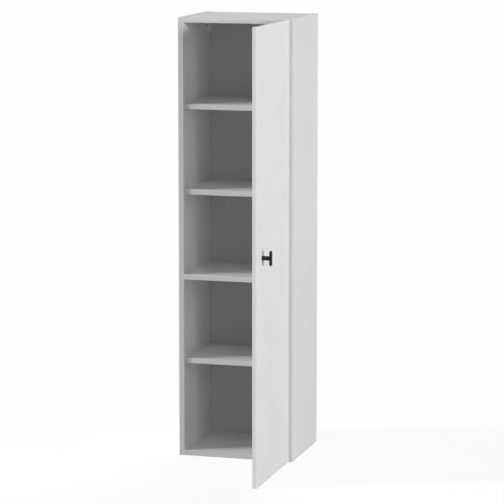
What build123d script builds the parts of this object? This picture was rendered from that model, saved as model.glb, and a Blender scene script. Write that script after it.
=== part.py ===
from build123d import *
import math
import os

os.makedirs("parts", exist_ok=True)

# A tall single-door locker cabinet of faced chipboard. The door stands open at a right angle.
# Millimetres, +Z up. The origin is the middle of the carcass footprint at floor level.
# +X is the hinge side, and the front faces -Y.

# Overall sizes
width = 400.0
height = 1500.0
depth = 330.0

# Boards
board = 18.0                 # carcass panels and shelves
door_board = 16.0
back_board = 3.0
edge_round = 0.6             # broken arris of the carcass boards
door_round = 2.5             # rounded arris of the door's outer face
door_back_round = 1.5        # rounded arris of the door's back face

# Back panel, held in grooves that run past the rear of the top and bottom panels
back_inset = 17.0            # from the sides' rear edges to the back panel
groove_depth = 8.0
groove_play = 0.25           # on each face of the back panel
groove_end_play = 1.0        # at each side edge of the back panel
back_end_margin = 3.0        # back panel stops this far inside the top and bottom faces

# Shelves
upper_space = 274.0          # clear height above the upper shelf
lower_space = 302.0          # clear height below the lower shelf
shelf_setback = 9.0          # adjustable shelves behind the sides' front edges
shelf_side_play = 0.75
shelf_rear_play = 2.0
hole_pitch = 32.0
holes_above = 1              # spare pin holes above and below each pin
pin_from_front = 37.0
pin_from_back = 37.0
pin_radius = 2.5
pin_in_board = 8.0
pin_out = 9.0
pin_collar_radius = 4.0
pin_collar = 1.0
pin_play = 0.05
pin_round = 0.8
pin_hole_depth = 9.5

# Cam locks and dowels that join the sides to the top, bottom and fixed shelf
cam_radius = 7.5
cam_past_bolt = 3.5          # the cam reaches this far above the bolt's middle line
cam_from_end = 24.0
cam_from_front = 45.0
cam_from_back = 60.0
cam_cap = 1.0
cam_cap_play = 0.05
cam_mouth = 4.0              # depth of the mouth for the bolt's head past the cam's middle
bolt_radius = 3.0
bolt_head_radius = 3.6
bolt_head = 2.2
bolt_neck_radius = 2.0
bolt_neck = 5.0
bolt_in_side = 11.0
bore_play = 0.15
dowel_radius = 4.0
dowel_in_side = 10.0
dowel_in_panel = 20.0
dowel_end_play = 1.0
dowel_play = 0.05
dowel_chamfer = 1.0
dowel_offset = 32.0          # from the cam lock's line towards the middle of the depth

# Nails that hold the back panel to the boards it passes
nail_radius = 0.7
nail_length = 14.0
nail_head_radius = 2.2
nail_head = 0.6
nail_spread = 110.0          # outer nails from the middle one

# Door
door_reveal = 1.5            # door edge inside the carcass outline, all round
door_gap = 2.0               # closed door to the carcass front
knob_from_edge = 62.0
knob_height = 750.0
bumper_radius = 4.0
bumper_thick = 1.4
bumper_round = 0.6
bumper_inset = 9.0           # from the carcass outline to the bumper's middle
bumper_from_end = 29.0       # from the cabinet's lower and upper ends

# T knob
stem_radius = 6.1            # next to the collar
stem_end_radius = 6.6        # next to the crossbar
collar_radius = 7.0
collar = 2.4
collar_round = 0.8
stem_length = 25.0
crossbar_length = 49.0
crossbar_depth = 7.8
crossbar_width = 13.0
crossbar_round = 3.6
knob_screw_radius = 2.0
knob_screw_head_radius = 4.2
knob_screw_head = 2.2
knob_screw_in_stem = 12.0
knob_screw_round = 1.0
knob_screw_play = 0.3
washer_radius = 6.0
washer = 1.0

# Concealed hinges
hinge_from_end = 100.0       # outer hinges from the cabinet's lower and upper ends
cup_radius = 17.5
cup_depth = 12.0
cup_wall = 1.0
cup_from_edge = 5.0
cup_flange_radius = 19.5
cup_flange = 0.9
cup_ear_reach = 29.0
cup_ear_radius = 5.0
cup_ear_back = 6.0           # ears behind the cup's middle, away from the door's edge
cup_bore_play = 0.3          # at the bottom of the door's bore
cup_pin_inset = 0.1          # each end of the cup's pin short of the cup's wall
cup_screw_spacing = 48.0
cup_screw_radius = 1.75
cup_screw_length = 12.0
cup_screw_head_radius = 3.4
cup_screw_head = 1.8
cup_ear_screw_head = 0.8     # low head, so that it clears the side board's edge
hinge_pin_radius = 1.25
hinge_pin_play = 0.05
lever_eye_radius = 2.6
lever_thick = 1.6
lever_width = 10.0
lever_bend = (25.5, -6.8)    # elbow of the lever, along and across the line of its two pivots
ground_pivot = (16.75, 11.75)   # lever pivot: from the side's inner face, behind the front plane
door_pivot = (10.2, 5.3)     # cup pivot: from the door's hinge edge, and into the door's back face
lever_turn = 24.59           # the lever turns this far back while the door opens by a right angle
arm_wall = 1.2
arm_width = 18.0
arm_front = 7.5
arm_rear = 62.0
arm_cover = 5.5              # from the lever pivot to the arm's web
arm_side_play = 0.3          # arm walls to the mounting plate's wing
arm_relief_depth = 22.0      # walls cut back this far behind the front plane
arm_relief_side = 5.0        # and this far from the lever pivot towards the side
arm_seat = 18.0              # length of the dip under the arm screw
arm_seat_play = 0.05
plate_thick = 2.0
plate_centre = 37.0
plate_wing_reach = 23.0
plate_wing_width = 18.0
plate_rail_length = 46.0
plate_rail_width = 11.0
plate_rail = 9.0
plate_screw_spacing = 32.0
arm_screw_radius = 2.5
arm_screw_head_radius = 4.0
arm_screw_head = 2.0
plate_corner = 5.0
plate_rail_shift = 2.0       # rail sits this far behind the wing's middle
slot_half_width = 0.6        # screwdriver slots
slot_half_length = 3.0
slot_depth = 1.4

# Wall hangers in the upper rear corners
hanger_width = 16.0
hanger_length = 62.0
hanger_height = 48.0
hanger_wall = 1.5
hanger_play = 0.4
hanger_round = 1.0
hanger_access_radius = 4.5
hook_thick = 2.0
hook_height = 22.0
hook_lip = 7.0               # height of the lip above the hook's bar
hook_tip = 4.0
nut_half = 5.0
nut_length = 8.0
nut_from_head = 14.0
hook_behind = 9.0            # gap between the hook's lip and the back panel
hook_slot_play = 1.5
hook_from_base = 12.0        # hook above the underside of the hanger
hanger_screw_radius = 3.0
hanger_screw_length = 34.0
hanger_screw_head_radius = 4.0
hanger_screw_head = 3.0
hanger_nose_gap = 4.0        # from the adjuster's head to the frame's nose
frame_screw_radius = 2.0
frame_screw_length = 14.0
frame_screw_head_radius = 3.6
frame_screw_head = 1.8
frame_screw_margin = 7.0     # from the frame's lower and upper ends
frame_screw_from_back = 14.0

# Places that follow from the sizes above
half = width / 2
front = -depth / 2
rear = depth / 2
inner = half - board
back_rear_face = rear - back_inset
back_face = back_rear_face - back_board
panel_rear = back_face - groove_play
cam_depth = board / 2 + cam_past_bolt
hinge_heights = (hinge_from_end, height / 2, height - hinge_from_end)

# The shelves between the lower and the upper one are evenly spaced
upper_shelf_top = height - board - upper_space
lower_shelf_top = 2 * board + lower_space
shelf_pitch = (upper_shelf_top - lower_shelf_top) / 3
fixed_shelf_top = lower_shelf_top + shelf_pitch
middle_shelf_top = lower_shelf_top + 2 * shelf_pitch
shelf_tops = {"upper": upper_shelf_top, "middle": middle_shelf_top, "lower": lower_shelf_top}


def block(x_low, x_high, y_low, y_high, z_low, z_high):
    """A box between two corners."""
    centre = ((x_low + x_high) / 2, (y_low + y_high) / 2, (z_low + z_high) / 2)
    return Pos(*centre) * Box(x_high - x_low, y_high - y_low, z_high - z_low)


def rod(start, direction, radius, length):
    """A round bar from start along direction."""
    return Plane(origin=start, z_dir=direction) * Cylinder(
        radius, length, align=(Align.CENTER, Align.CENTER, Align.MIN))


def cross_slot(start, direction, deep):
    """Cutter for the cross recess in a screw's head."""
    cutter = Box(2 * slot_half_length, 2 * slot_half_width, 2 * deep)
    cutter += Box(2 * slot_half_width, 2 * slot_half_length, 2 * deep)
    return Plane(origin=start, z_dir=direction) * cutter


def group(solids):
    """Separate solids kept together in one node."""
    return Compound(children=list(solids))


def save(name, shape):
    """Write one node."""
    export_step(shape, f"parts/{name}.step")


def ease(shape, radius, wanted):
    """Round the edges that the test picks out."""
    return fillet([edge for edge in shape.edges() if wanted(edge)], radius)


def in_plane_y(edge, y):
    """Whether an edge lies in the plane at y."""
    box = edge.bounding_box()
    return abs(box.min.Y - y) < 1e-3 and abs(box.max.Y - y) < 1e-3


# Boards that the cam locks and dowels hold: underside and name
joined_boards = {
    "top": height - board,
    "fixed_shelf": fixed_shelf_top - board,
    "bottom": 0.0,
}
cam_lines = (front + cam_from_front, panel_rear - cam_from_back)
dowel_lines = (cam_lines[0] + dowel_offset, cam_lines[1] - dowel_offset)
pin_lines = (front + pin_from_front, back_face - pin_from_back)
nail_places = (-nail_spread, 0.0, nail_spread)


def pin_height(shelf_top):
    """Centre of the pins that a shelf rests on."""
    return shelf_top - board - pin_radius


def side_panel(side):
    """Full-height side board with its groove, pin holes and joint bores; side is -1 or 1."""
    face = side * inner
    outer = side * half
    low, high = min(face, outer), max(face, outer)
    panel = block(low, high, front, rear, 0, height)
    panel = ease(panel, edge_round, lambda edge: in_plane_y(edge, front))
    groove_bottom = face + side * groove_depth
    cuts = [block(min(face, groove_bottom), max(face, groove_bottom),
                  back_face - groove_play, back_rear_face + groove_play, 0, height)]
    outward = (side, 0, 0)
    for shelf_top in shelf_tops.values():
        for step in range(-holes_above, holes_above + 1):
            for y in pin_lines:
                z = pin_height(shelf_top) + step * hole_pitch
                cuts.append(rod((face, y, z), outward, pin_radius + pin_play, pin_hole_depth))
    for underside in joined_boards.values():
        z = underside + board / 2
        for y in cam_lines:
            cuts.append(rod((face, y, z), outward, bolt_radius + bore_play, bolt_in_side + bore_play))
        for y in dowel_lines:
            depth_cut = dowel_in_side + dowel_end_play
            cuts.append(rod((face, y, z), outward, dowel_radius + dowel_play, depth_cut))
    for z in frame_screw_heights:
        cuts.append(rod((face, frame_screw_line, z), outward, frame_screw_radius + pin_play,
                        frame_screw_length))
    if side > 0:
        cuts += plate_screw_holes()
    return panel - cuts


def joined_board(underside):
    """A board between the sides, with bores for cams, bolts and dowels."""
    panel = block(-inner, inner, front, panel_rear, underside, underside + board)
    panel = ease(panel, edge_round, lambda edge: in_plane_y(edge, front))
    middle = underside + board / 2
    cuts = []
    for side in (-1, 1):
        inward = (-side, 0, 0)
        for y in cam_lines:
            centre = (side * (inner - cam_from_end), y, underside)
            cuts.append(rod(centre, (0, 0, 1), cam_radius + bore_play, cam_depth + bore_play))
            start = (side * inner, y, middle)
            cuts.append(rod(start, inward, bolt_head_radius + bore_play, cam_from_end))
        for y in dowel_lines:
            depth_cut = dowel_in_panel + dowel_end_play
            cuts.append(rod((side * inner, y, middle), inward, dowel_radius + dowel_play, depth_cut))
    for x in nail_places:
        cuts.append(rod((x, panel_rear + 1, middle), (0, -1, 0), nail_radius + pin_play, nail_length))
    return panel - cuts


def joints_of_boards(make):
    """One piece made for each cam lock: underside of the board, side and line."""
    return group(make(underside, side, y) for underside in joined_boards.values()
                 for side in (-1, 1) for y in cam_lines)


def cam_lock(underside, side, y):
    """Round cam with a mouth for the bolt head and a cross slot in its face."""
    x = side * (inner - cam_from_end)
    cam = rod((x, y, underside + cam_cap), (0, 0, 1), cam_radius, cam_depth - cam_cap)
    middle = underside + board / 2
    mouth = rod((x - side * cam_mouth, y, middle), (side, 0, 0),
                bolt_head_radius + bore_play, cam_radius * 2)
    return cam - mouth - cross_slot((x, y, underside + cam_cap), (0, 0, 1), slot_depth)


def cam_cap_disc(underside, side, y):
    """Thin cap that closes the cam's bore flush with the board."""
    x = side * (inner - cam_from_end)
    return rod((x, y, underside), (0, 0, 1), cam_radius, cam_cap - cam_cap_play)


def cam_bolt(underside, side, y):
    """Bolt from the side board to the cam: thread, shank, neck and head."""
    z = underside + board / 2
    inward = (-side, 0, 0)
    start = side * (inner + bolt_in_side)
    shank = bolt_in_side + cam_from_end - bolt_neck - bolt_head / 2
    bolt = rod((start, y, z), inward, bolt_radius, shank)
    neck_start = start - side * shank
    bolt += rod((neck_start, y, z), inward, bolt_neck_radius, bolt_neck)
    head_start = neck_start - side * bolt_neck
    bolt += rod((head_start, y, z), inward, bolt_head_radius, bolt_head)
    return bolt


def dowel(underside, side, y):
    """Beech dowel with chamfered ends."""
    z = underside + board / 2
    length = dowel_in_side + dowel_in_panel
    start = (side * (inner + dowel_in_side), y, z)
    pin = rod(start, (-side, 0, 0), dowel_radius, length)
    ends = pin.edges().filter_by(GeomType.CIRCLE)
    return chamfer(ends, dowel_chamfer)


def back_panel():
    """Thin board in the sides' grooves, with a slot for each hanger's hook."""
    edge = inner + groove_depth - groove_end_play
    panel = block(-edge, edge, back_face, back_rear_face, back_end_margin, height - back_end_margin)
    cuts = []
    for side in (-1, 1):
        x = side * (inner - hanger_width / 2)
        reach = hook_thick / 2 + hook_slot_play
        cuts.append(block(x - reach, x + reach, back_face - 1, back_rear_face + 1,
                          hook_base - hook_slot_play, hook_base + hook_height + hook_slot_play))
    for underside in joined_boards.values():
        for x in nail_places:
            start = (x, back_rear_face + 1, underside + board / 2)
            cuts.append(rod(start, (0, -1, 0), nail_radius + pin_play, back_board + 2))
    return panel - cuts


def back_nail(x, underside):
    """Small nail with a flat head, driven through the back panel."""
    z = underside + board / 2
    nail = rod((x, back_rear_face, z), (0, -1, 0), nail_radius, nail_length)
    return nail + rod((x, back_rear_face + nail_head, z), (0, -1, 0), nail_head_radius, nail_head)


def adjustable_shelf(shelf_top):
    """Loose shelf that rests on four pins."""
    reach = inner - shelf_side_play
    shelf_front = front + shelf_setback
    shelf = block(-reach, reach, shelf_front, back_face - shelf_rear_play, shelf_top - board, shelf_top)
    return ease(shelf, edge_round, lambda edge: in_plane_y(edge, shelf_front))


def shelf_pin(side, y, z):
    """Steel pin with a collar against the side board."""
    face = side * inner
    inward = (-side, 0, 0)
    pin = rod((face + side * pin_in_board, y, z), inward, pin_radius, pin_in_board + pin_out)
    collar = rod((face, y, z), inward, pin_collar_radius, pin_collar)
    # the collar's top is cut flat under the shelf
    clear = block(-half, half, front, rear, z + pin_radius, z + 2 * pin_collar_radius)
    rims = pin.edges().filter_by(GeomType.CIRCLE).sort_by(Axis.X)
    pin = fillet(rims[0] if side > 0 else rims[-1], pin_round)
    return pin + (collar - clear)


# Wall hangers
hanger_top = height - board - hanger_play
hanger_low = hanger_top - hanger_height
hanger_front = back_face - hanger_play - hanger_length
hook_base = hanger_low + hook_from_base
frame_clearance = hanger_wall + hanger_play
frame_low = hanger_low + frame_clearance
frame_high = hanger_top - frame_clearance
frame_rear = back_face - frame_clearance
frame_screw_heights = (frame_low + frame_screw_margin, frame_high - frame_screw_margin)
frame_screw_line = frame_rear - frame_screw_from_back


def hanger_box(side, grow_inside):
    """Corners of a hanger's housing, drawn in by a wall on its free faces."""
    face = side * inner
    free = side * (inner - hanger_width + grow_inside)
    return (min(face, free), max(face, free), hanger_front + grow_inside,
            back_face - hanger_play, hanger_low + grow_inside, hanger_top - grow_inside)


def hanger_cover(side):
    """Plastic cover over the hanger, open towards the side board and the back panel."""
    shell = block(*hanger_box(side, 0))
    cavity = block(*hanger_box(side, hanger_wall))
    x = side * (inner - hanger_width / 2)
    access = rod((x, hanger_front - 1, hook_base + hook_height / 2), (0, 1, 0),
                 hanger_access_radius, hanger_wall + 2)
    free = side * (inner - hanger_width)
    shell = ease(shell, hanger_round, lambda edge: in_plane_y(edge, hanger_front))
    wall_face = free + side * hanger_wall
    open_rear = block(min(side * inner, wall_face), max(side * inner, wall_face),
                      back_face - hanger_play - 1, back_face + 1,
                      hanger_low + hanger_wall, hanger_top - hanger_wall)
    return shell - cavity - open_rear - access


def hanger_frame(side):
    """Steel frame screwed to the side board, with a nose that carries the adjusting screw."""
    face = side * inner
    sheet = face - side * hook_thick
    y_front = hanger_front + frame_clearance + hanger_screw_head
    plate = block(min(face, sheet), max(face, sheet), y_front, frame_rear, frame_low, frame_high)
    free = side * (inner - hanger_width + frame_clearance)
    y_nose = y_front + hanger_nose_gap
    nose = block(min(face, free), max(face, free), y_nose, y_nose + hook_thick, frame_low, frame_high)
    x = side * (inner - hanger_width / 2)
    z = hook_base + hook_height / 2
    nose -= rod((x, y_front, z), (0, 1, 0), hanger_screw_radius + pin_play, hanger_screw_length)
    cuts = [rod((face, frame_screw_line, z_screw), (-side, 0, 0), frame_screw_radius + pin_play,
                2 * hook_thick) for z_screw in frame_screw_heights]
    return plate + nose - cuts


def hanger_frame_screw(side, z):
    """Screw from the hanger's frame into the side board."""
    head_face = side * (inner - hook_thick)
    y = frame_screw_line
    screw = rod((head_face, y, z), (side, 0, 0), frame_screw_radius, frame_screw_length)
    return screw + rod((head_face - side * frame_screw_head, y, z), (side, 0, 0),
                       frame_screw_head_radius, frame_screw_head)


def hanger_hook(side):
    """Flat steel hook that passes through the back panel and turns up behind it."""
    x = side * (inner - hanger_width / 2)
    nut_front = hanger_front + hanger_wall + hanger_screw_head + nut_from_head
    lip_front = back_rear_face + hook_behind
    x_low, x_high = x - hook_thick / 2, x + hook_thick / 2
    bar = block(x_low, x_high, nut_front, lip_front + hook_tip, hook_base,
                hook_base + hook_height - hook_lip)
    lip = block(x_low, x_high, lip_front, lip_front + hook_tip, hook_base, hook_base + hook_height)
    z = hook_base + hook_height / 2
    nut = block(x - nut_half, x + nut_half, nut_front, nut_front + nut_length, z - nut_half, z + nut_half)
    bore = rod((x, nut_front - 1, z), (0, 1, 0), hanger_screw_radius + pin_play,
               hanger_screw_length)
    return bar + lip + nut - bore


def hanger_screw(side):
    """Adjusting screw, reached through the cover."""
    x = side * (inner - hanger_width / 2)
    z = hook_base + hook_height / 2
    start = hanger_front + hanger_wall + hanger_play
    head = rod((x, start, z), (0, 1, 0), hanger_screw_head_radius, hanger_screw_head)
    head -= cross_slot((x, start, z), (0, 1, 0), slot_depth)
    return head + rod((x, start + hanger_screw_head, z), (0, 1, 0), hanger_screw_radius,
                      hanger_screw_length)


# Hinge geometry in plan. Points are (X, Y); the closed door faces the front.
side_face = inner
lever_anchor = Vector(side_face - ground_pivot[0], front + ground_pivot[1])
door_edge = half - door_reveal
door_back = front - door_gap
cup_pivot_closed = Vector(door_edge - door_pivot[0], door_back - door_pivot[1])
lever_line_closed = cup_pivot_closed - lever_anchor
lever_length = lever_line_closed.length


def turned(vector, degrees):
    """A plan vector turned anticlockwise."""
    angle = math.radians(degrees)
    return Vector(vector.X * math.cos(angle) - vector.Y * math.sin(angle),
                  vector.X * math.sin(angle) + vector.Y * math.cos(angle))


lever_line_open = turned(lever_line_closed, -lever_turn)
cup_pivot_open = lever_anchor + lever_line_open


def opened(shape):
    """Carry a piece of the closed door to the open door."""
    at_pivot = Pos(-cup_pivot_closed.X, -cup_pivot_closed.Y, 0) * shape
    return Pos(cup_pivot_open.X, cup_pivot_open.Y, 0) * (Rot(0, 0, 90) * at_pivot)


def hinge_plate(z):
    """Mounting plate: a wing with two screws and a rail that the arm slides over."""
    y = front + plate_centre
    face = side_face
    wing = block(face - plate_thick, face, y - plate_wing_width / 2, y + plate_wing_width / 2,
                 z - plate_wing_reach, z + plate_wing_reach)
    wing = fillet(wing.edges().filter_by(Axis.X), plate_corner)
    rail_middle = y + plate_rail_shift
    rail = block(face - plate_rail, face,
                 rail_middle - plate_rail_length / 2, rail_middle + plate_rail_length / 2,
                 z - plate_rail_width / 2, z + plate_rail_width / 2)
    cuts = [rod((face + 1, y, z + end * plate_screw_spacing / 2), (-1, 0, 0),
                cup_screw_radius + pin_play, plate_thick + 2) for end in (-1, 1)]
    cuts.append(rod((face + 1, y, z), (-1, 0, 0), arm_screw_radius + pin_play, plate_rail + 2))
    return wing + rail - cuts


def plate_screw(z, end):
    """Screw that holds a mounting plate to the side board."""
    start = (side_face - plate_thick, front + plate_centre, z + end * plate_screw_spacing / 2)
    screw = rod(start, (1, 0, 0), cup_screw_radius, cup_screw_length)
    head = rod(start, (-1, 0, 0), cup_screw_head_radius, cup_screw_head)
    top = (start[0] - cup_screw_head, start[1], start[2])
    return screw + head - cross_slot(top, (1, 0, 0), slot_depth)


def plate_screw_holes():
    """Pilot holes in the side board for the mounting plates."""
    return [rod((side_face, front + plate_centre, z + end * plate_screw_spacing / 2), (1, 0, 0),
                cup_screw_radius + pin_play, cup_screw_length + 1)
            for z in hinge_heights for end in (-1, 1)]


arm_web = lever_anchor.X - arm_cover
arm_seat_face = side_face - plate_rail - arm_seat_play


def hinge_arm(z):
    """Channel over the plate's rail that carries the lever's pin at its front."""
    reach = arm_width / 2
    wall_reach = side_face - plate_thick - arm_side_play
    channel = block(arm_web, wall_reach, front + arm_front, front + arm_rear, z - reach, z + reach)
    channel -= block(arm_web + arm_wall, wall_reach + 1, front + arm_front - 1, front + arm_rear + 1,
                     z - reach + arm_wall, z + reach - arm_wall)
    y_screw = front + plate_centre
    # the web dips to the rail where the fixing screw clamps it
    seat_front, seat_rear = y_screw - arm_seat / 2, y_screw + arm_seat / 2
    z_low, z_high = z - reach + arm_wall, z + reach - arm_wall
    channel -= block(arm_web - 1, arm_web + arm_wall + 1, seat_front, seat_rear, z_low, z_high)
    channel += block(arm_seat_face - arm_wall, arm_seat_face, seat_front, seat_rear, z_low, z_high)
    for y_low in (seat_front - arm_wall, seat_rear):
        channel += block(arm_web, arm_seat_face, y_low, y_low + arm_wall, z_low, z_high)
    # the walls are cut back in front of the plate's wing so that the lever can swing
    channel -= block(lever_anchor.X + arm_relief_side, wall_reach + 1,
                     front + arm_front - 1, front + arm_relief_depth, z - reach - 1, z + reach + 1)
    channel -= rod((lever_anchor.X, lever_anchor.Y, z - reach - 1), (0, 0, 1),
                   hinge_pin_radius + hinge_pin_play, arm_width + 2)
    channel -= rod((arm_web - 1, y_screw, z), (1, 0, 0), arm_screw_radius + pin_play, side_face - arm_web)
    return channel


def arm_screw(z):
    """Machine screw that clamps the arm to its plate."""
    head_face = arm_seat_face - arm_wall
    y = front + plate_centre
    start = (head_face, y, z)
    screw = rod(start, (1, 0, 0), arm_screw_radius, plate_rail + arm_wall - 1)
    head_start = (head_face - arm_screw_head, y, z)
    head = rod(head_start, (1, 0, 0), arm_screw_head_radius, arm_screw_head)
    return screw + head - cross_slot(head_start, (1, 0, 0), slot_depth)


def arm_pin(z):
    """Pin through the arm's walls and the lever's eye."""
    return rod((lever_anchor.X, lever_anchor.Y, z - arm_width / 2), (0, 0, 1),
               hinge_pin_radius, arm_width)


def lever_point(along, across):
    """A point of the lever at rest, from its anchor along and across its pivot line."""
    line = lever_line_open.normalized()
    left = turned(line, 90)
    return lever_anchor + line * along + left * across


def hinge_lever(z):
    """Cranked lever between the arm's pin and the cup's pin."""
    path = [lever_point(0, 0), lever_point(*lever_bend), lever_point(lever_length, 0)]
    low = z - lever_width / 2
    lever = rod((path[0].X, path[0].Y, low), (0, 0, 1), lever_eye_radius, lever_width)
    lever += rod((path[2].X, path[2].Y, low), (0, 0, 1), lever_eye_radius, lever_width)
    lever += rod((path[1].X, path[1].Y, low), (0, 0, 1), lever_thick / 2, lever_width)
    for start, end in zip(path, path[1:]):
        run = end - start
        angle = math.degrees(math.atan2(run.Y, run.X))
        middle = (start + end) * 0.5
        strap = Rot(0, 0, angle) * Box(run.length, lever_thick, lever_width)
        lever += Pos(middle.X, middle.Y, z) * strap
    for pivot in (path[0], path[2]):
        lever -= rod((pivot.X, pivot.Y, low - 1), (0, 0, 1), hinge_pin_radius + hinge_pin_play,
                     lever_width + 2)
    return lever


cup_centre = (door_edge - cup_from_edge - cup_radius, door_back)


def hinge_cup(z):
    """Pressed cup with a flange and two screw ears, drawn on the closed door."""
    x, y = cup_centre
    inside = (0, 1, 0)
    cup = rod((x, y - cup_depth, z), inside, cup_radius, cup_depth)
    cup += rod((x, y, z), inside, cup_flange_radius, cup_flange)
    ear_x = x - cup_ear_back
    ears = block(ear_x - cup_ear_radius, ear_x + cup_ear_radius, y, y + cup_flange,
                 z - cup_ear_reach, z + cup_ear_reach)
    cup += fillet(ears.edges().filter_by(Axis.Y), 0.96 * cup_ear_radius)
    cup -= rod((x, y - cup_depth + cup_wall, z), inside, cup_radius - cup_wall, cup_depth + 2)
    for end in (-1, 1):
        cup -= rod((ear_x, y - 1, z + end * cup_screw_spacing / 2), inside,
                   cup_screw_radius + pin_play, 4)
    pivot = cup_pivot_closed
    cup -= rod((pivot.X, pivot.Y, z - cup_pin_half), (0, 0, 1), hinge_pin_radius + pin_play,
               2 * cup_pin_half)
    return opened(cup)


cup_pivot_offset = cup_pivot_closed.X - cup_centre[0]
cup_pin_half = math.sqrt((cup_radius - cup_wall) ** 2 - cup_pivot_offset ** 2)


def cup_pin(z):
    """Pin across the cup that the lever's outer eye turns on."""
    pivot = cup_pivot_open
    reach = cup_pin_half - cup_pin_inset
    return rod((pivot.X, pivot.Y, z - reach), (0, 0, 1), hinge_pin_radius, 2 * reach)


def cup_screw(z, end):
    """Screw that holds a cup's ear to the door."""
    x, y = cup_centre
    start = (x - cup_ear_back, y + cup_flange, z + end * cup_screw_spacing / 2)
    screw = rod(start, (0, -1, 0), cup_screw_radius, cup_screw_length)
    head = rod(start, (0, 1, 0), cup_screw_head_radius, cup_ear_screw_head)
    top = (start[0], start[1] + cup_ear_screw_head, start[2])
    return opened(screw + head - cross_slot(top, (0, -1, 0), cup_ear_screw_head / 2))


door_outer = door_back - door_board
door_free_edge = -half + door_reveal
knob_x = door_free_edge + knob_from_edge


def door_panel():
    """Slab door with rounded outer arrises, bored for cups, knob and screws."""
    slab = block(door_free_edge, door_edge, door_outer, door_back, door_reveal, height - door_reveal)
    slab = ease(slab, door_round, lambda edge: in_plane_y(edge, door_outer))
    slab = ease(slab, door_back_round, lambda edge: in_plane_y(edge, door_back))
    x, y = cup_centre
    cuts = []
    for z in hinge_heights:
        cuts.append(rod((x, y + 1, z), (0, -1, 0), cup_radius + pin_play, cup_depth + cup_bore_play + 1))
        for end in (-1, 1):
            start = (x - cup_ear_back, y + 1, z + end * cup_screw_spacing / 2)
            cuts.append(rod(start, (0, -1, 0), cup_screw_radius + pin_play, cup_screw_length + 1))
    cuts.append(rod((knob_x, door_back + 1, knob_height), (0, -1, 0),
                    knob_screw_radius + knob_screw_play, door_board + 2))
    return opened(slab - cuts)


def knob_stem():
    """Stem that stands on the door's outer face on a small collar and widens to the crossbar."""
    foot = rod((knob_x, door_outer, knob_height), (0, -1, 0), collar_radius, collar)
    foot = fillet(foot.edges().filter_by(GeomType.CIRCLE).sort_by(Axis.Y)[0], collar_round)
    shank = stem_length - collar
    start = Plane(origin=(knob_x, door_outer - collar, knob_height), z_dir=(0, -1, 0))
    stem = foot + start * Cone(stem_radius, stem_end_radius, shank,
                               align=(Align.CENTER, Align.CENTER, Align.MIN))
    stem -= rod((knob_x, door_outer + 1, knob_height), (0, -1, 0),
                knob_screw_radius + pin_play, knob_screw_in_stem + 2)
    return opened(stem)


def knob_crossbar():
    """Upright bar across the end of the stem."""
    start = door_outer - stem_length
    bar = block(knob_x - crossbar_width / 2, knob_x + crossbar_width / 2,
                start - crossbar_depth, start,
                knob_height - crossbar_length / 2, knob_height + crossbar_length / 2)
    return opened(fillet(bar.edges(), crossbar_round))


def knob_screw():
    """Screw through the door into the stem."""
    head_face = door_back + washer
    start = (knob_x, head_face, knob_height)
    screw = rod(start, (0, -1, 0), knob_screw_radius, washer + door_board + knob_screw_in_stem)
    head = rod(start, (0, 1, 0), knob_screw_head_radius, knob_screw_head)
    head = fillet(head.edges().filter_by(GeomType.CIRCLE).sort_by(Axis.Y)[-1], knob_screw_round)
    head -= cross_slot((knob_x, head_face + knob_screw_head, knob_height), (0, -1, 0), slot_depth)
    return opened(screw + head)


def knob_washer():
    """Washer under the knob screw's head."""
    disc = rod((knob_x, door_back, knob_height), (0, 1, 0), washer_radius, washer)
    disc -= rod((knob_x, door_back - 1, knob_height), (0, 1, 0), knob_screw_radius + pin_play, washer + 2)
    return opened(disc)


def door_bumper(z):
    """Soft dot on the door's back face that meets the side's front edge."""
    start = (-half + bumper_inset, door_back, z)
    dot = rod(start, (0, 1, 0), bumper_radius, bumper_thick)
    return opened(fillet(dot.edges().filter_by(GeomType.CIRCLE).sort_by(Axis.Y)[-1], bumper_round))


# Carcass
save("left_side_panel", side_panel(-1))
save("right_side_panel", side_panel(1))
save("top_panel", joined_board(joined_boards["top"]))
save("fixed_shelf", joined_board(joined_boards["fixed_shelf"]))
save("bottom_panel", joined_board(joined_boards["bottom"]))
save("back_panel", back_panel())
save("back_nails", group(back_nail(x, low) for low in joined_boards.values() for x in nail_places))
save("cam_locks", joints_of_boards(cam_lock))
save("cam_caps", joints_of_boards(cam_cap_disc))
save("cam_bolts", joints_of_boards(cam_bolt))
save("dowels", group(dowel(low, side, y) for low in joined_boards.values()
                     for side in (-1, 1) for y in dowel_lines))

# Shelves
for name, shelf_top in shelf_tops.items():
    save(f"{name}_shelf", adjustable_shelf(shelf_top))
    save(f"{name}_shelf_pins", group(shelf_pin(side, y, pin_height(shelf_top))
                                     for side in (-1, 1) for y in pin_lines))

# Hangers
for name, side in (("left", -1), ("right", 1)):
    save(f"{name}_hanger_cover", hanger_cover(side))
    save(f"{name}_hanger_frame", hanger_frame(side))
    save(f"{name}_hanger_hook", hanger_hook(side))
    save(f"{name}_hanger_adjuster", hanger_screw(side))
save("hanger_frame_screws", group(hanger_frame_screw(side, z) for side in (-1, 1)
                                  for z in frame_screw_heights))

# Hinges
save("hinge_plates", group(hinge_plate(z) for z in hinge_heights))
save("hinge_plate_screws", group(plate_screw(z, end) for z in hinge_heights for end in (-1, 1)))
save("hinge_arms", group(hinge_arm(z) for z in hinge_heights))
save("hinge_arm_screws", group(arm_screw(z) for z in hinge_heights))
save("hinge_arm_pins", group(arm_pin(z) for z in hinge_heights))
save("hinge_levers", group(hinge_lever(z) for z in hinge_heights))
save("hinge_cups", group(hinge_cup(z) for z in hinge_heights))
save("hinge_cup_pins", group(cup_pin(z) for z in hinge_heights))
save("hinge_cup_screws", group(cup_screw(z, end) for z in hinge_heights for end in (-1, 1)))

# Door
save("door_panel", door_panel())
save("knob_stem", knob_stem())
save("knob_crossbar", knob_crossbar())
save("knob_screw", knob_screw())
save("knob_washer", knob_washer())
save("door_bumpers", group(door_bumper(z) for z in (bumper_from_end, height - bumper_from_end)))

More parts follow.
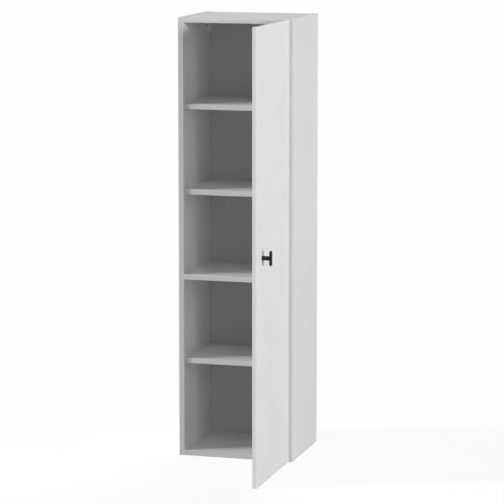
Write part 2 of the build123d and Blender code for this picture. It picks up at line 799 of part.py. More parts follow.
print(f"lever pivot {lever_anchor.X:.3f} {lever_anchor.Y:.3f}")
print(f"door pivot {cup_pivot_open.X:.3f} {cup_pivot_open.Y:.3f}")
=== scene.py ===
# %% [markdown]
# # A white locker cabinet with one open door
# The cabinet is a tall box of faced chipboard. Its boards, hinges and screws come ready made as fixed
# CAD nodes, so this lesson gives every node its finish, models the few pieces whose surface deserves a
# closer look, and sets up a plain studio. Positions are always read from the CAD boxes.

# %% Load the frame
import math

import bpy
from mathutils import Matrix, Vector


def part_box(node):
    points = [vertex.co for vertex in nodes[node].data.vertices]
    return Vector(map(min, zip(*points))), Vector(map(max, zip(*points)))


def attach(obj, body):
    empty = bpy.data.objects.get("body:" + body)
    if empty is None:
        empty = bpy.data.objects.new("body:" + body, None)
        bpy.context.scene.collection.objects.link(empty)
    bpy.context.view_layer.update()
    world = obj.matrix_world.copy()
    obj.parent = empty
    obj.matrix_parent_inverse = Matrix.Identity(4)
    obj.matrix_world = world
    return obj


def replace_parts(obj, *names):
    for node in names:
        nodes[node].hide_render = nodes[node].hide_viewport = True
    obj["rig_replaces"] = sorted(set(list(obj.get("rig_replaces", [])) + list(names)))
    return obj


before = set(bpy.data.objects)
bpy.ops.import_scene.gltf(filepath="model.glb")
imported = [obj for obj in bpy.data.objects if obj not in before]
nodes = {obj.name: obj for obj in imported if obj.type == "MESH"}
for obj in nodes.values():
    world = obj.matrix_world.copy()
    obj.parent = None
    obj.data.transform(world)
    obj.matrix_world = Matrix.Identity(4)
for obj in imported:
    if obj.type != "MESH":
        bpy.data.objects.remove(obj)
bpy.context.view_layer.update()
MM = 0.001

# %% [markdown]
# ## Small helpers
# A colour is written as an sRGB hex value, as a paint shop would give it. Blender's shaders work in
# linear light, so one function turns the hex value to linear. Every finish here is a small tree of
# nodes, and one more function adds a node of any kind, sets it up and links it. A link may come from a
# socket, or from a node, whose first output in use is then taken.


# %% Colour and node helpers
def linear(hex_colour):
    """sRGB hex to a linear RGBA tuple."""
    channels = [int(hex_colour[i:i + 2], 16) / 255 for i in (0, 2, 4)]
    return tuple(c / 12.92 if c <= 0.04045 else ((c + 0.055) / 1.055) ** 2.4 for c in channels) + (1.0,)


def add_node(tree, kind, settings=None, links=None):
    """Add a node, set its properties and its unlinked sockets, and link the others."""
    node = tree.nodes.new(kind)
    for key, value in (settings or {}).items():
        if isinstance(key, str) and hasattr(node, key):
            setattr(node, key, value)
        else:
            node.inputs[key].default_value = value
    for key, source in (links or {}).items():
        if hasattr(source, "outputs"):
            source = next(socket for socket in source.outputs if socket.enabled)
        tree.links.new(source, node.inputs[key])
    return node


def new_material(name):
    """A material with an empty tree, and the place of each point in metres, as the tree reads it."""
    material = bpy.data.materials.new(name)
    material.use_nodes = True
    tree = material.node_tree
    tree.nodes.clear()
    return material, tree, add_node(tree, "ShaderNodeTexCoord").outputs["Object"]


print("helpers ready; mid grey is", round(linear("808080")[0], 3), "in linear light")

# %% [markdown]
# ## Melamine-faced board
# The carcass is chipboard faced with white melamine paper. The press plate leaves a fine pearl grain,
# so the board is matt and its highlights are broad. The front edges carry a strip of ABS band, glued on
# and trimmed: its joint shows as a hair line 0.8 mm behind the front. A picture of a board could be
# wrapped round each piece, but noise on Object coordinates keeps its real size on every board and has
# no seam at a corner. The pearl grain is about 0.6 mm on a real board, which is too fine to show here,
# so it is drawn at 3 mm. The whole sheet also drifts a little in tone, in clouds about a foot across.

# %% Melamine material
CLOUD = 350 * MM
PEARL = 3 * MM
EDGE_BAND = 0.8 * MM
HAIR_LINE = 0.15 * MM


def melamine(name, front_y):
    """White melamine board whose banded front edge is at front_y."""
    material, tree, place = new_material(name)
    cloud = add_node(tree, "ShaderNodeTexNoise", {"Scale": 1 / CLOUD, "Detail": 3.0}, {"Vector": place})
    share = add_node(tree, "ShaderNodeMapRange", {"From Min": 0.35, "From Max": 0.65}, {"Value": cloud})
    face = add_node(tree, "ShaderNodeMix",
                    {"data_type": "RGBA", "A": linear("D9D9D9"), "B": linear("DDDDDD")},
                    {"Factor": share})
    axes = add_node(tree, "ShaderNodeSeparateXYZ", links={"Vector": place})
    behind = add_node(tree, "ShaderNodeMath", {"operation": "SUBTRACT", 1: front_y + EDGE_BAND},
                      {0: axes.outputs["Y"]})
    away = add_node(tree, "ShaderNodeMath", {"operation": "ABSOLUTE"}, {0: behind})
    joint = add_node(tree, "ShaderNodeMath", {"operation": "LESS_THAN", 1: HAIR_LINE}, {0: away})
    lined = add_node(tree, "ShaderNodeMix", {"data_type": "RGBA", "B": linear("A8A8A8")},
                     {"Factor": joint, "A": face})
    sheen = add_node(tree, "ShaderNodeMapRange", {"To Min": 0.42, "To Max": 0.54}, {"Value": cloud})
    pearl = add_node(tree, "ShaderNodeTexNoise", {"Scale": 1 / PEARL, "Detail": 1.0}, {"Vector": place})
    raised = add_node(tree, "ShaderNodeBump", {"Strength": 0.5, "Distance": 0.03 * MM}, {"Height": pearl})
    board = add_node(tree, "ShaderNodeBsdfPrincipled", {"IOR": 1.5},
                     {"Base Color": lined, "Roughness": sheen, "Normal": raised})
    add_node(tree, "ShaderNodeOutputMaterial", links={"Surface": board})
    return material


carcass_melamine = melamine("white_melamine_chipboard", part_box("left_side_panel")[0].y)
shelf_melamine = melamine("white_melamine_shelf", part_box("upper_shelf")[0].y)
print("melamine", carcass_melamine.name, shelf_melamine.name, "joint", EDGE_BAND / MM, "mm from the front")

# %% [markdown]
# ## Door foil
# The door is a fibreboard slab wrapped in a smooth white foil. It is a little whiter and a little
# glossier than the carcass, and its long face shows a very soft unevenness that only grazing light
# brings out. A deep bump would look like stucco, so this is a slow, shallow one, with the gloss
# wandering along with it. The foil's real orange peel is about 2 mm, drawn at 5 mm so that it shows.

# %% Door material
FOIL_WAVE = 120 * MM
FOIL_PEEL = 5 * MM
door_foil, tree, place = new_material("white_foil_on_fibreboard")
wave = add_node(tree, "ShaderNodeTexNoise", {"Scale": 1 / FOIL_WAVE, "Detail": 2.0}, {"Vector": place})
share = add_node(tree, "ShaderNodeMapRange", {"From Min": 0.35, "From Max": 0.65}, {"Value": wave})
tint = add_node(tree, "ShaderNodeMix", {"data_type": "RGBA", "A": linear("E5E5E5"), "B": linear("E8E8E8")},
                {"Factor": share})
gloss = add_node(tree, "ShaderNodeMapRange", {"To Min": 0.32, "To Max": 0.40}, {"Value": wave})
peel = add_node(tree, "ShaderNodeTexNoise", {"Scale": 1 / FOIL_PEEL, "Detail": 1.0}, {"Vector": place})
raised = add_node(tree, "ShaderNodeBump", {"Strength": 0.4, "Distance": 0.02 * MM}, {"Height": peel})
foil = add_node(tree, "ShaderNodeBsdfPrincipled", {"IOR": 1.5},
                {"Base Color": tint, "Roughness": gloss, "Normal": raised})
add_node(tree, "ShaderNodeOutputMaterial", links={"Surface": foil})
print("door", door_foil.name, "nodes", len(tree.nodes))

# %% [markdown]
# ## Hardboard back
# The back is a 3 mm hardboard sheet. Its inner face is lacquered white, a shade greyer than the boards,
# and its rear face is raw: brown, matt, and printed with the mesh of the press. Two materials would
# need the sheet split in two, so one material serves both faces, and the face's normal says which is
# which. Fine noise gives the pressed fibres, and a few darker flecks lie among them. Real fibres are
# under 1 mm wide, and are drawn here at 4 mm so that they show.

# %% Hardboard material
FIBRE = 4 * MM
FLECK = 14 * MM
hardboard, tree, place = new_material("lacquered_hardboard")
fibres = add_node(tree, "ShaderNodeTexNoise", {"Scale": 1 / FIBRE, "Detail": 4.0}, {"Vector": place})
fibre_share = add_node(tree, "ShaderNodeMapRange", {"From Min": 0.3, "From Max": 0.7}, {"Value": fibres})
brown = add_node(tree, "ShaderNodeMix", {"data_type": "RGBA", "A": linear("9C7B57"), "B": linear("AE8F69")},
                 {"Factor": fibre_share})
flecks = add_node(tree, "ShaderNodeTexNoise", {"Scale": 1 / FLECK, "Detail": 5.0}, {"Vector": place})
fleck_share = add_node(tree, "ShaderNodeMapRange", {"From Min": 0.58, "From Max": 0.75, "To Max": 0.35},
                       {"Value": flecks})
raw = add_node(tree, "ShaderNodeMix", {"data_type": "RGBA", "B": linear("7E6043")},
               {"Factor": fleck_share, "A": brown})
cloud = add_node(tree, "ShaderNodeTexNoise", {"Scale": 1 / CLOUD, "Detail": 2.0}, {"Vector": place})
lacquer = add_node(tree, "ShaderNodeMix",
                   {"data_type": "RGBA", "A": linear("C1C1C1"), "B": linear("C8C8C8")},
                   {"Factor": cloud})
normal = add_node(tree, "ShaderNodeNewGeometry").outputs["Normal"]
facing = add_node(tree, "ShaderNodeSeparateXYZ", links={"Vector": normal})
is_rear = add_node(tree, "ShaderNodeMath", {"operation": "GREATER_THAN", 1: 0.5}, {0: facing.outputs["Y"]})
both = add_node(tree, "ShaderNodeMix", {"data_type": "RGBA"}, {"Factor": is_rear, "A": lacquer, "B": raw})
sheen = add_node(tree, "ShaderNodeMapRange", {"To Min": 0.45, "To Max": 0.75}, {"Value": is_rear})
raised = add_node(tree, "ShaderNodeBump", {"Strength": 0.4, "Distance": 0.05 * MM}, {"Height": fibres})
sheet = add_node(tree, "ShaderNodeBsdfPrincipled", {"IOR": 1.5},
                 {"Base Color": both, "Roughness": sheen, "Normal": raised})
add_node(tree, "ShaderNodeOutputMaterial", links={"Surface": sheet})
print("back", hardboard.name, "nodes", len(tree.nodes))

# %% [markdown]
# ## Powder coat
# The knob is zinc with a powder coat, a baked plastic film. To the eye it is matt and almost black,
# with a fine orange peel that breaks the highlight along its rounded edges. The film hides the metal,
# so the material isn't metallic. Its grain is about 0.5 mm, drawn at 1.2 mm so that it shows.

# %% Powder coat material
COAT_GRAIN = 1.2 * MM
powder_coat, tree, place = new_material("black_powder_coat")
grain = add_node(tree, "ShaderNodeTexNoise", {"Scale": 1 / COAT_GRAIN, "Detail": 2.0}, {"Vector": place})
share = add_node(tree, "ShaderNodeMapRange", {"From Min": 0.35, "From Max": 0.65}, {"Value": grain})
tint = add_node(tree, "ShaderNodeMix", {"data_type": "RGBA", "A": linear("0B0B0C"), "B": linear("121213")},
                {"Factor": share})
sheen = add_node(tree, "ShaderNodeMapRange", {"To Min": 0.45, "To Max": 0.56}, {"Value": grain})
raised = add_node(tree, "ShaderNodeBump", {"Strength": 0.6, "Distance": 0.08 * MM}, {"Height": grain})
coat = add_node(tree, "ShaderNodeBsdfPrincipled", {"IOR": 1.5},
                {"Base Color": tint, "Roughness": sheen, "Normal": raised})
add_node(tree, "ShaderNodeOutputMaterial", links={"Surface": coat})
print("knob", powder_coat.name)

# %% [markdown]
# ## Plated and cast metals
# The hinges are pressed from steel and nickel-plated: warm, fairly bright, with drawing marks that run
# along Z. Screws, nails and pins are zinc-plated, a bluer and duller grey. The cams are cast zinc,
# duller again and grainy. All three are one kind of surface with other numbers, so one function makes
# them: a tone and a gloss that drift over the part, and fine marks. Real marks are near 0.1 mm, and are
# drawn at 1 mm so that they show.

# %% Metal materials
MARKS = 1 * MM


def plated(name, dull, bright, smooth, rough, drift_size, stretch):
    """A metal whose colour and roughness drift over drift_size metres, its marks stretched along Z."""
    material, tree, place = new_material(name)
    pulled = add_node(tree, "ShaderNodeMapping", {"Scale": (1, 1, 1 / stretch)}, {"Vector": place})
    drift = add_node(tree, "ShaderNodeTexNoise", {"Scale": 1 / drift_size, "Detail": 3.0},
                     {"Vector": pulled})
    share = add_node(tree, "ShaderNodeMapRange", {"From Min": 0.35, "From Max": 0.65}, {"Value": drift})
    tint = add_node(tree, "ShaderNodeMix", {"data_type": "RGBA", "A": linear(dull), "B": linear(bright)},
                    {"Factor": share})
    polish = add_node(tree, "ShaderNodeMapRange", {"To Min": rough, "To Max": smooth}, {"Value": drift})
    marks = add_node(tree, "ShaderNodeTexNoise", {"Scale": 1 / MARKS, "Detail": 2.0}, {"Vector": pulled})
    raised = add_node(tree, "ShaderNodeBump", {"Strength": 0.4, "Distance": 0.02 * MM}, {"Height": marks})
    metal = add_node(tree, "ShaderNodeBsdfPrincipled", {"Metallic": 1.0},
                     {"Base Color": tint, "Roughness": polish, "Normal": raised})
    add_node(tree, "ShaderNodeOutputMaterial", links={"Surface": metal})
    return material


nickel = plated("nickel_plated_pressed_steel", "BBB6AB", "D3CFC6", 0.20, 0.32, 8 * MM, 4)
zinc_plate = plated("zinc_plated_steel", "A7ABAF", "C2C6CA", 0.30, 0.42, 8 * MM, 1)
cast_zinc = plated("cast_zinc", "87898C", "A2A4A6", 0.45, 0.60, 3 * MM, 1)
print("metals", nickel.name, zinc_plate.name, cast_zinc.name)

# %% [markdown]
# ## Galvanised sheet
# The wall hangers are folded from hot-dip galvanised sheet. The zinc freezes into flat crystals, each
# with its own grey and its own gloss, which show as spangles about 6 mm wide. A Voronoi texture makes
# cells of just that kind, and its random colour gives each cell one value for both tone and roughness.

# %% Galvanised material
SPANGLE = 6 * MM
galvanised, tree, place = new_material("galvanised_sheet")
crystals = add_node(tree, "ShaderNodeTexVoronoi", {"Scale": 1 / SPANGLE}, {"Vector": place})
value = add_node(tree, "ShaderNodeSeparateColor", links={"Color": crystals.outputs["Color"]}).outputs["Red"]
tint = add_node(tree, "ShaderNodeMix", {"data_type": "RGBA", "A": linear("9EA2A6"), "B": linear("C3C7CA")},
                {"Factor": value})
polish = add_node(tree, "ShaderNodeMapRange", {"To Min": 0.3, "To Max": 0.5}, {"Value": value})
zinc = add_node(tree, "ShaderNodeBsdfPrincipled", {"Metallic": 1.0},
                {"Base Color": tint, "Roughness": polish})
add_node(tree, "ShaderNodeOutputMaterial", links={"Surface": zinc})
print("hanger sheet", galvanised.name, "spangle", SPANGLE / MM, "mm")

# %% [markdown]
# ## Moulded ABS
# The hanger covers and the caps over the cams are injection-moulded ABS. The tool was spark-eroded, so
# the plastic has a fine, even satin grain and no gloss, and it is as white as the boards. The grain is
# about 0.1 mm, drawn at 0.8 mm so that it shows on the edges of the covers.

# %% Moulded ABS material
SPARK = 0.8 * MM
FLOW = 20 * MM
moulded_abs, tree, place = new_material("white_moulded_abs")
flow = add_node(tree, "ShaderNodeTexNoise", {"Scale": 1 / FLOW, "Detail": 2.0}, {"Vector": place})
tint = add_node(tree, "ShaderNodeMix", {"data_type": "RGBA", "A": linear("D8D8D8"), "B": linear("DEDEDE")},
                {"Factor": flow})
spark = add_node(tree, "ShaderNodeTexNoise", {"Scale": 1 / SPARK, "Detail": 2.0}, {"Vector": place})
sheen = add_node(tree, "ShaderNodeMapRange", {"To Min": 0.38, "To Max": 0.48}, {"Value": spark})
raised = add_node(tree, "ShaderNodeBump", {"Strength": 0.5, "Distance": 0.03 * MM}, {"Height": spark})
plastic = add_node(tree, "ShaderNodeBsdfPrincipled", {"IOR": 1.53},
                   {"Base Color": tint, "Roughness": sheen, "Normal": raised})
add_node(tree, "ShaderNodeOutputMaterial", links={"Surface": plastic})
print("covers", moulded_abs.name)

# %% [markdown]
# ## Beech
# The dowels between the boards are turned beech, with the grain straight along X. They are all but
# hidden, so a full wood texture with rings would be wasted. A stretched noise is enough: pale lines
# about 1.5 mm apart that run the dowel's length.

# %% Beech material
GRAIN = 1.5 * MM
ALONG_GRAIN = 0.08           # the pattern is squeezed to this share along X, so it looks drawn out
beech, tree, place = new_material("beech_dowel")
along = add_node(tree, "ShaderNodeMapping", {"Scale": (ALONG_GRAIN, 1, 1)}, {"Vector": place})
rings = add_node(tree, "ShaderNodeTexNoise", {"Scale": 1 / GRAIN, "Detail": 4.0}, {"Vector": along})
tint = add_node(tree, "ShaderNodeMix", {"data_type": "RGBA", "A": linear("B98D5E"), "B": linear("D2AC7C")},
                {"Factor": rings})
raised = add_node(tree, "ShaderNodeBump", {"Strength": 0.5, "Distance": 0.05 * MM}, {"Height": rings})
wood = add_node(tree, "ShaderNodeBsdfPrincipled", {"IOR": 1.5, "Roughness": 0.6},
                {"Base Color": tint, "Normal": raised})
add_node(tree, "ShaderNodeOutputMaterial", links={"Surface": wood})
print("dowels", beech.name)

# %% [markdown]
# ## Elastomer
# The door's bumpers are soft polyurethane dots, slightly milky, so some light spreads inside them and
# their shadow side stays pale. Subsurface scattering over 1.5 mm does that. A faint cloudiness, 2 mm
# across, stands for the haze in the plastic.

# %% Elastomer material
HAZE = 2 * MM
elastomer, tree, place = new_material("milky_elastomer")
haze = add_node(tree, "ShaderNodeTexNoise", {"Scale": 1 / HAZE, "Detail": 1.0}, {"Vector": place})
tint = add_node(tree, "ShaderNodeMix", {"data_type": "RGBA", "A": linear("D8D9D6"), "B": linear("E4E5E2")},
                {"Factor": haze})
sheen = add_node(tree, "ShaderNodeMapRange", {"To Min": 0.32, "To Max": 0.44}, {"Value": haze})
rubber = add_node(tree, "ShaderNodeBsdfPrincipled",
                  {"IOR": 1.48, "Subsurface Weight": 0.4, "Subsurface Scale": 1.5 * MM},
                  {"Base Color": tint, "Roughness": sheen})
add_node(tree, "ShaderNodeOutputMaterial", links={"Surface": rubber})
print("bumpers", elastomer.name)

# %% [markdown]
# ## Finishes on the CAD nodes
# Each node keeps its mesh. Only its material slot changes, so a list of finishes and the nodes that
# take them is all that is needed. Flat boards want flat shading, and their round edges come from CAD.

# %% Give the nodes their finish
finishes = {
    carcass_melamine: ["left_side_panel", "right_side_panel", "top_panel", "bottom_panel", "fixed_shelf"],
    shelf_melamine: ["upper_shelf", "middle_shelf", "lower_shelf"],
    door_foil: ["door_panel"],
    hardboard: ["back_panel"],
    moulded_abs: ["cam_caps", "left_hanger_cover", "right_hanger_cover"],
    powder_coat: ["knob_stem", "knob_crossbar"],
    nickel: ["hinge_arms", "hinge_plates", "hinge_levers", "hinge_cups"],
    zinc_plate: ["back_nails", "cam_bolts", "upper_shelf_pins", "middle_shelf_pins", "lower_shelf_pins",
                 "hinge_plate_screws", "hinge_arm_screws", "hinge_arm_pins", "hinge_cup_pins",
                 "hinge_cup_screws", "knob_screw", "knob_washer", "hanger_frame_screws",
                 "left_hanger_adjuster", "right_hanger_adjuster"],
    cast_zinc: ["cam_locks"],
    galvanised: ["left_hanger_frame", "left_hanger_hook", "right_hanger_frame", "right_hanger_hook"],
    beech: ["dowels"],
    elastomer: ["door_bumpers"],
}
for material, names in finishes.items():
    for name in names:
        nodes[name].data.materials.clear()
        nodes[name].data.materials.append(material)
unfinished = sorted(set(nodes) - {name for names in finishes.values() for name in names})
print("finished", sum(len(names) for names in finishes.values()), "unfinished", unfinished)

# %% [markdown]
# ## New pieces, and how they are shaped
# The knob, the hanger covers and the door's bumpers are the small parts that a hand or an eye finds
# first, so they are modelled again with softer edges. Each starts as a primitive in its CAD place and
# is shaped in edit mode. Faces and edges are picked by where they lie, since there is no mouse here.

# %% Edit-mode helpers
import bmesh

MERGE = 0.001 * MM
SMOOTH_BELOW = 40            # degrees; sharper edges stay sharp


def begin(primitive, **settings):
    """Add a primitive alone, put its place and size in its mesh, and enter edit mode."""
    bpy.ops.object.select_all(action="DESELECT")
    primitive(**settings)
    bpy.ops.object.transform_apply(location=True, rotation=True, scale=True)
    bpy.ops.object.mode_set(mode="EDIT")
    return bpy.context.object


def pick(piece, kind, wanted):
    """Select only the faces or edges that the test wants, and say how many."""
    bpy.ops.mesh.select_mode(type="FACE" if kind == "faces" else "EDGE")
    bpy.ops.mesh.select_all(action="DESELECT")
    mesh = bmesh.from_edit_mesh(piece.data)
    chosen = [element for element in getattr(mesh, kind) if wanted(element)]
    for element in chosen:
        element.select_set(True)
    bmesh.update_edit_mesh(piece.data)
    return len(chosen)


def end(piece, name, body, material, node):
    """Close the piece's seams, smooth it, name it and give it its body, finish and CAD node."""
    bpy.ops.mesh.select_all(action="SELECT")
    bpy.ops.mesh.remove_doubles(threshold=MERGE)
    bpy.ops.mesh.normals_make_consistent(inside=False)
    bpy.ops.object.mode_set(mode="OBJECT")
    bpy.ops.object.shade_smooth_by_angle(angle=math.radians(SMOOTH_BELOW))
    piece.name = name
    piece.data.name = name
    piece.data.materials.clear()
    piece.data.materials.append(material)
    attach(piece, body)
    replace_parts(piece, node)
    print(name, len(piece.data.polygons), "faces")


def twin(piece):
    """Copy the piece with its own mesh, and enter edit mode with all of the copy selected."""
    bpy.ops.object.select_all(action="DESELECT")
    piece.select_set(True)
    bpy.ops.object.duplicate(linked=False)
    bpy.ops.object.mode_set(mode="EDIT")
    bpy.ops.mesh.select_all(action="SELECT")
    return bpy.context.object


def grow_rings(direction, centre, first_radius, steps):
    """Extrude the selected disc along X in steps of (length, radius), like turning on a lathe."""
    x, radius = centre.x, first_radius
    for length, next_radius in steps:
        x += direction * length
        bpy.ops.mesh.extrude_region_move(TRANSFORM_OT_translate={"value": (direction * length, 0, 0)})
        factor = next_radius / radius
        bpy.ops.transform.resize(value=(1, factor, factor), center_override=(x, centre.y, centre.z))
        radius = next_radius


print("edit helpers ready")

# %% [markdown]
# ## The T knob's bar
# The bar is a short cast strip whose ends are fully round and whose long edges are softened. It could
# be a tube with a ball at each end, but then the seams would have to be joined. Here a cube is
# stretched over the CAD bar. Its four edges along Y are bevelled by almost half its thickness, which
# makes the half-round ends, and then both rims get a smaller bevel for the finger.

# %% Knob bar
END_SHARE = 0.49             # of the bar's thickness, so that the two bevels don't meet
RIM_ROUND = 2.2 * MM
LONG_EDGE = 5 * MM           # only the edges along Y reach this far in Y
SAME_PLACE = 0.01 * MM
bar_low, bar_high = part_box("knob_crossbar")
bar_size = bar_high - bar_low
bar = begin(bpy.ops.mesh.primitive_cube_add, size=1, location=(bar_low + bar_high) / 2, scale=bar_size)
corners = pick(bar, "edges", lambda edge: abs(edge.verts[0].co.y - edge.verts[1].co.y) > LONG_EDGE)
bpy.ops.mesh.bevel(offset=END_SHARE * bar_size.x, segments=10, affect="EDGES")
rims = pick(bar, "edges", lambda edge: any(
    all(abs(vert.co.y - y) < SAME_PLACE for vert in edge.verts) for y in (bar_low.y, bar_high.y)))
bpy.ops.mesh.bevel(offset=RIM_ROUND, segments=5, affect="EDGES")
end(bar, "knob_bar", "door", powder_coat, "knob_crossbar")
print("bar corners", corners, "rim edges", rims)

# %% [markdown]
# ## The knob's stem
# The stem is turned: a small collar sits on the door, a shallow neck follows, and the stem widens a
# little to the bar. A cylinder would have none of that, so a disc is extruded ring by ring, with a new
# radius each time, like turning on a lathe. The real stem is about 15 mm thick, a little more than its
# CAD node, and this one is nearer to it. It runs half a millimetre into the bar, so that no gap opens.

# %% Knob stem
COLLAR_RADIUS = 7.7 * MM
INTO_BAR = 0.5 * MM
stem_low, stem_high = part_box("knob_stem")
stem_length = stem_high.x - stem_low.x
foot = Vector((stem_low.x, (stem_low.y + stem_high.y) / 2, (stem_low.z + stem_high.z) / 2))
stem_rings = [(1.7 * MM, COLLAR_RADIUS), (0.35 * MM, COLLAR_RADIUS - 0.1 * MM), (0.25 * MM, 7.35 * MM),
              (0.1 * MM, 7.1 * MM), (0.5 * MM, 7.05 * MM), (0.6 * MM, 7.15 * MM), (10 * MM, 7.25 * MM)]
turned = sum(length for length, radius in stem_rings)
stem_rings.append((stem_length + INTO_BAR - turned, 7.4 * MM))
stem = begin(bpy.ops.mesh.primitive_circle_add, vertices=64, radius=COLLAR_RADIUS, fill_type="NGON",
             location=foot, rotation=(0, math.pi / 2, 0))
bpy.ops.mesh.select_all(action="SELECT")
grow_rings(1, foot, COLLAR_RADIUS, stem_rings)
end(stem, "knob_post", "door", powder_coat, "knob_stem")
print("stem length", round(stem_length / MM, 2), "mm, widest", 2 * COLLAR_RADIUS / MM, "mm")

# %% [markdown]
# ## Hanger covers
# Each wall hanger hides under a moulded cover, open towards the side board and the back. A screwdriver
# passes through the hole in its front. The cover is a cube without those two faces, and its outer edges
# are bevelled. The wall could be modelled face by face, but Solidify keeps it even round the bends. A
# stepped cutter then makes the hole with its small countersink, and a Boolean takes it away. The right
# cover is a mirrored copy, and mirroring turns faces inside out, so they are recalculated.

# %% Left cover
COVER_WALL = 1.5 * MM
COVER_ROUND = 1.8 * MM
HOLE_RADIUS = 4.5 * MM
COUNTERSINK = 0.8 * MM
COUNTERSINK_FLARE = 1.18     # its mouth is wider than the hole by this factor
CUTTER_LENGTH = 8 * MM       # far enough to pass the wall
cover_low, cover_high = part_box("left_hanger_cover")
adjuster_low, adjuster_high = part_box("left_hanger_adjuster")
cover = begin(bpy.ops.mesh.primitive_cube_add, size=1, location=(cover_low + cover_high) / 2,
              scale=cover_high - cover_low)
pick(cover, "faces", lambda face: face.normal.x < -0.5 or face.normal.y > 0.5)
bpy.ops.mesh.delete(type="FACE")
folds = pick(cover, "edges", lambda edge: len(edge.link_faces) == 2)
bpy.ops.mesh.bevel(offset=COVER_ROUND, segments=4, affect="EDGES")
bpy.ops.object.mode_set(mode="OBJECT")
wall = cover.modifiers.new("wall", "SOLIDIFY")
wall.thickness = COVER_WALL
wall.offset = -1
wall.use_even_offset = True
bpy.ops.object.modifier_apply(modifier=wall.name)
print("cover folds", folds, "faces", len(cover.data.polygons))

# %% Screwdriver hole
hole_centre = Vector(((adjuster_low.x + adjuster_high.x) / 2, cover_low.y,
                      (adjuster_low.z + adjuster_high.z) / 2))
cutter_centre = hole_centre + Vector((0, CUTTER_LENGTH / 2 + COUNTERSINK, 0))
cutter = begin(bpy.ops.mesh.primitive_cylinder_add, vertices=48, radius=HOLE_RADIUS, depth=CUTTER_LENGTH,
               location=cutter_centre, rotation=(math.pi / 2, 0, 0))
pick(cutter, "faces", lambda face: face.normal.y < -0.9)
for factor in (COUNTERSINK_FLARE, 1.0):
    bpy.ops.mesh.extrude_region_move(TRANSFORM_OT_translate={"value": (0, -COUNTERSINK, 0)})
    bpy.ops.transform.resize(value=(factor, 1, factor), center_override=hole_centre)
bpy.ops.mesh.select_all(action="SELECT")
bpy.ops.mesh.normals_make_consistent(inside=False)
bpy.ops.object.mode_set(mode="OBJECT")
bpy.ops.object.select_all(action="DESELECT")
bpy.context.view_layer.objects.active = cover
cover.select_set(True)
hole = cover.modifiers.new("hole", "BOOLEAN")
hole.operation = "DIFFERENCE"
hole.solver = "EXACT"
hole.object = cutter
bpy.ops.object.modifier_apply(modifier=hole.name)
bpy.data.objects.remove(cutter)
print("hole at", [round(value / MM, 1) for value in hole_centre], "faces", len(cover.data.polygons))
bpy.ops.object.mode_set(mode="EDIT")
end(cover, "left_hanger_shell", "carcass", moulded_abs, "left_hanger_cover")

# %% Right cover
right_cover = twin(cover)
del right_cover["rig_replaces"]   # the copy stands for the right cover only
bpy.ops.transform.resize(value=(-1, 1, 1), center_override=(0, 0, 0))
end(right_cover, "right_hanger_shell", "carcass", moulded_abs, "right_hanger_cover")

# %% [markdown]
# ## Door bumpers
# Two soft dots near the door's free edge meet the side board when the door shuts. A flattened ball
# would bulge over its own foot, so each dot is a disc grown ring by ring into a low dome, with a
# short upright rim where it is stuck to the door. The upper dot is a copy with its own mesh.

# %% Bumpers
dots_low, dots_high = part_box("door_bumpers")
dot_radius = (dots_high.y - dots_low.y) / 2
dot_foot = Vector((dots_high.x, (dots_low.y + dots_high.y) / 2, dots_low.z + dot_radius))
dot = begin(bpy.ops.mesh.primitive_circle_add, vertices=40, radius=dot_radius, fill_type="NGON",
            location=dot_foot, rotation=(0, -math.pi / 2, 0))
bpy.ops.mesh.select_all(action="SELECT")
dot_rings = [(0.45 * MM, dot_radius), (0.3 * MM, 3.9 * MM), (0.27 * MM, 3.6 * MM),
             (0.2 * MM, 3.0 * MM), (0.11 * MM, 2.1 * MM), (0.05 * MM, 1.0 * MM)]
grow_rings(-1, dot_foot, dot_radius, dot_rings)
end(dot, "door_bumper_lower", "door", elastomer, "door_bumpers")
upper_dot = twin(dot)
bpy.ops.transform.translate(value=(0, 0, dots_high.z - dots_low.z - 2 * dot_radius))
end(upper_dot, "door_bumper_upper", "door", elastomer, "door_bumpers")

# %% [markdown]
# ## The studio floor
# The floor is a wide sheet of pale paper, so that the background is one even tone from any side. A
# white sheet throws a lot of light back up at the underside of the boards. Real product studios avoid
# that by lighting the paper by itself, and so does this one: the paper is a mid grey that glows towards
# the camera, and only a little towards the cabinet.

# %% Floor
FLOOR_SIZE = 160.0
TOOTH = 400 * MM
GLOW_SEEN = 0.88
GLOW_CAST = 0.12
bpy.ops.object.select_all(action="DESELECT")
bpy.ops.mesh.primitive_plane_add(size=FLOOR_SIZE, location=(0, 0, 0))
floor = bpy.context.object
floor.name = "studio_floor"
paper, tree, place = new_material("pale_paper")
tooth = add_node(tree, "ShaderNodeTexNoise", {"Scale": 1 / TOOTH, "Detail": 2.0}, {"Vector": place})
tint = add_node(tree, "ShaderNodeMix", {"data_type": "RGBA", "A": linear("646464"), "B": linear("686868")},
                {"Factor": tooth})
ray = add_node(tree, "ShaderNodeLightPath")
glow = add_node(tree, "ShaderNodeMapRange", {"To Min": GLOW_CAST, "To Max": GLOW_SEEN},
                {"Value": ray.outputs["Is Camera Ray"]})
sheet = add_node(tree, "ShaderNodeBsdfPrincipled",
                 {"Roughness": 0.9, "Specular IOR Level": 0.0, "Emission Color": (1, 1, 1, 1)},
                 {"Base Color": tint, "Emission Strength": glow})
add_node(tree, "ShaderNodeOutputMaterial", links={"Surface": sheet})
floor.data.materials.append(paper)
print("floor", floor.name, FLOOR_SIZE, "m wide")

# %% [markdown]
# ## The world
# The world is what fills the rest of the view, and it also lights the scene from all round. A strong
# one would wash out the shade inside the cabinet, so it is white where the camera sees it and gives
# only a faint light of its own.

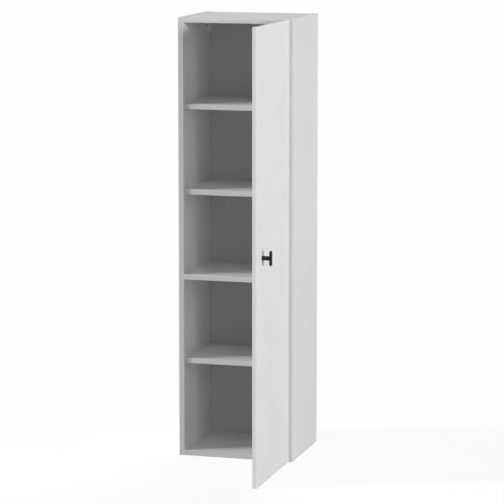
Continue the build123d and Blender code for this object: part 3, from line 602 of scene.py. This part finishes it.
# %% World
AMBIENT = 0.03
WHITE = (1, 1, 1, 1)
world = bpy.data.worlds.new("studio_world")
bpy.context.scene.world = world
world.use_nodes = True
tree = world.node_tree
tree.nodes.clear()
around = add_node(tree, "ShaderNodeBackground", {"Color": WHITE, "Strength": AMBIENT})
seen = add_node(tree, "ShaderNodeBackground", {"Color": WHITE, "Strength": 1.0})
ray = add_node(tree, "ShaderNodeLightPath")
choose = add_node(tree, "ShaderNodeMixShader", links={0: ray.outputs["Is Camera Ray"], 1: around, 2: seen})
add_node(tree, "ShaderNodeOutputWorld", links={"Surface": choose})
print("world", world.name, "ambient", AMBIENT)

# %% [markdown]
# ## The lights
# The cabinet is white on white, so only light and shade draw it. A wide light at its right makes the
# open door and the side board the brightest faces. A narrow key from the left draws the inside: it
# comes in at a flat angle, stops at the back's left part, and lets the side board throw its edge's
# shadow over the shelves. Weak lights in front keep the edges apart from the inside, and one high
# behind lights the top and the back. Sun lamps are used because their light is the same at every
# height of a tall piece, and their angle sets how soft the shadows are.


# %% Lights
LIGHT_DISTANCE = 6.0         # where the lamps' icons stand; a sun's distance changes nothing


def studio_light(name, azimuth, elevation, strength, spread):
    """A soft light from far away. Azimuth 0 stands in front of the cabinet and 90 at its right."""
    a, e = math.radians(azimuth), math.radians(elevation)
    towards = Vector((math.sin(a) * math.cos(e), -math.cos(a) * math.cos(e), math.sin(e)))
    bpy.ops.object.light_add(type="SUN", location=towards * LIGHT_DISTANCE)
    light = bpy.context.object
    light.name = name
    light.rotation_mode = "QUATERNION"
    light.rotation_quaternion = towards.to_track_quat("Z", "Y")
    light.data.energy = strength
    light.data.angle = math.radians(spread)
    print("light", name, strength)


studio_light("key_left", -66, 14, 1.56, 11)
studio_light("key_left_high", -66, 45, 0.80, 11)
studio_light("far_left", -85, 15, 0.62, 25)
studio_light("front_high", 8, 48, 0.28, 30)
studio_light("front_right", 30, 15, 0.22, 30)
studio_light("right_side", 72, 3, 3.30, 12)
studio_light("rear_high", 180, 44, 1.38, 30)

# %% [markdown]
# ## The camera
# The camera stands to the right of the cabinet and a little above its top, far away, with a long lens,
# so that the upright edges stay nearly parallel. It looks down by a few degrees. A small shift sets
# the cabinet in the frame. The plain view transform keeps the whites as white as the shaders give them.

# %% Camera
CAMERA_PLACE = Vector((2.4488, -8.5827, 2.0530))
CAMERA_AZIMUTH = 15.8529
CAMERA_PITCH = 8.0438
LENS = 187.84
SHIFT = -0.0595
bpy.ops.object.camera_add(location=CAMERA_PLACE)
camera = bpy.context.object
camera.name = "camera"
a, p = math.radians(CAMERA_AZIMUTH), math.radians(CAMERA_PITCH)
ahead = Vector((-math.sin(a) * math.cos(p), math.cos(a) * math.cos(p), -math.sin(p)))
camera.rotation_mode = "QUATERNION"
camera.rotation_quaternion = ahead.to_track_quat("-Z", "Y")
camera.data.sensor_width = 36.0
camera.data.lens = LENS
camera.data.shift_y = SHIFT
camera.data.clip_start = 0.1
camera.data.clip_end = 400.0
bpy.context.scene.camera = camera
bpy.context.scene.view_settings.view_transform = "Standard"
print("camera", camera.location[:], camera.data.lens)
